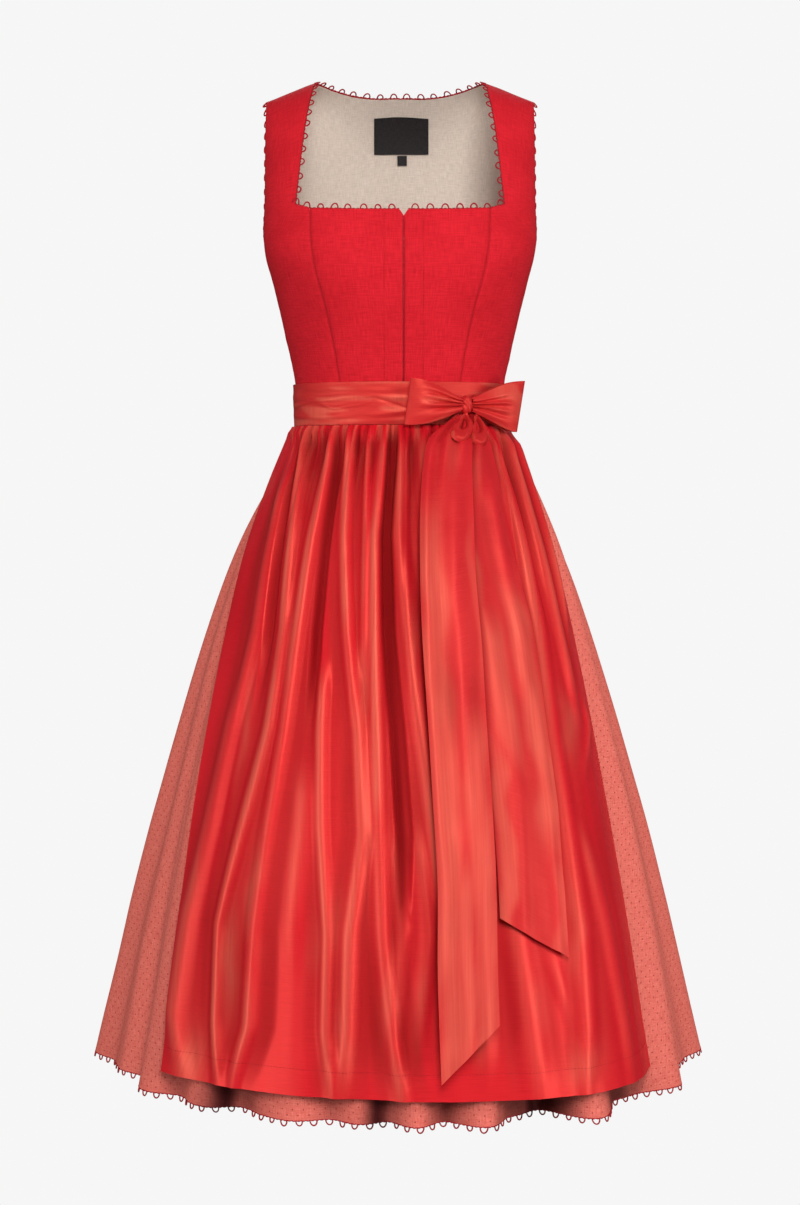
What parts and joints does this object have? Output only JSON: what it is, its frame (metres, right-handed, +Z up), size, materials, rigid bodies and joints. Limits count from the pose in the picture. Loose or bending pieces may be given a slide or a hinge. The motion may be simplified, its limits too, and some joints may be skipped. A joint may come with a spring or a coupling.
{
  "type": "dirndl dress with apron",
  "caption": "Sleeveless dirndl with square neck, princess-seamed bodice, full folded skirt and gathered apron tied in a bow at the front, hollow as if worn.",
  "frame": {"origin": "midway between the tops of the two straps, where the wearer's shoulders hold the garment", "axes": "+Z up along the wearer, the front faces -Y, +X is the wearer's left"},
  "size_m": [0.6885, 0.6658, 1.0948],
  "materials": {
    "bodice": "matt red linen weave",
    "lining": "smooth beige cotton lining",
    "label": "black woven tape, blank",
    "skirt": "coral changeant cotton with fine darker dots",
    "apron": "red and coral changeant satin",
    "edging": "dark red thread loops"
  },
  "bodies": {
    "root": {"front_centre_left": "bodice", "front_centre_right": "bodice", "front_side_left": "bodice", "front_side_right": "bodice", "back_centre": "bodice", "back_side_left": "bodice", "back_side_right": "bodice", "back_lining": "lining", "label": "label", "size_tab": "label", "skirt_front": "skirt", "skirt_back": "skirt", "apron": "apron", "apron_band": "apron", "sash_back": "apron", "bow_knot": "apron", "bow_loop_left": "apron", "bow_loop_right": "apron", "bow_tail_front": "apron", "bow_tail_back": "apron", "hem_edging_front": "edging", "hem_edging_back": "edging", "armhole_edging_left": "edging", "armhole_edging_right": "edging", "neckline_edging": "edging"}
  },
  "joints": []
}
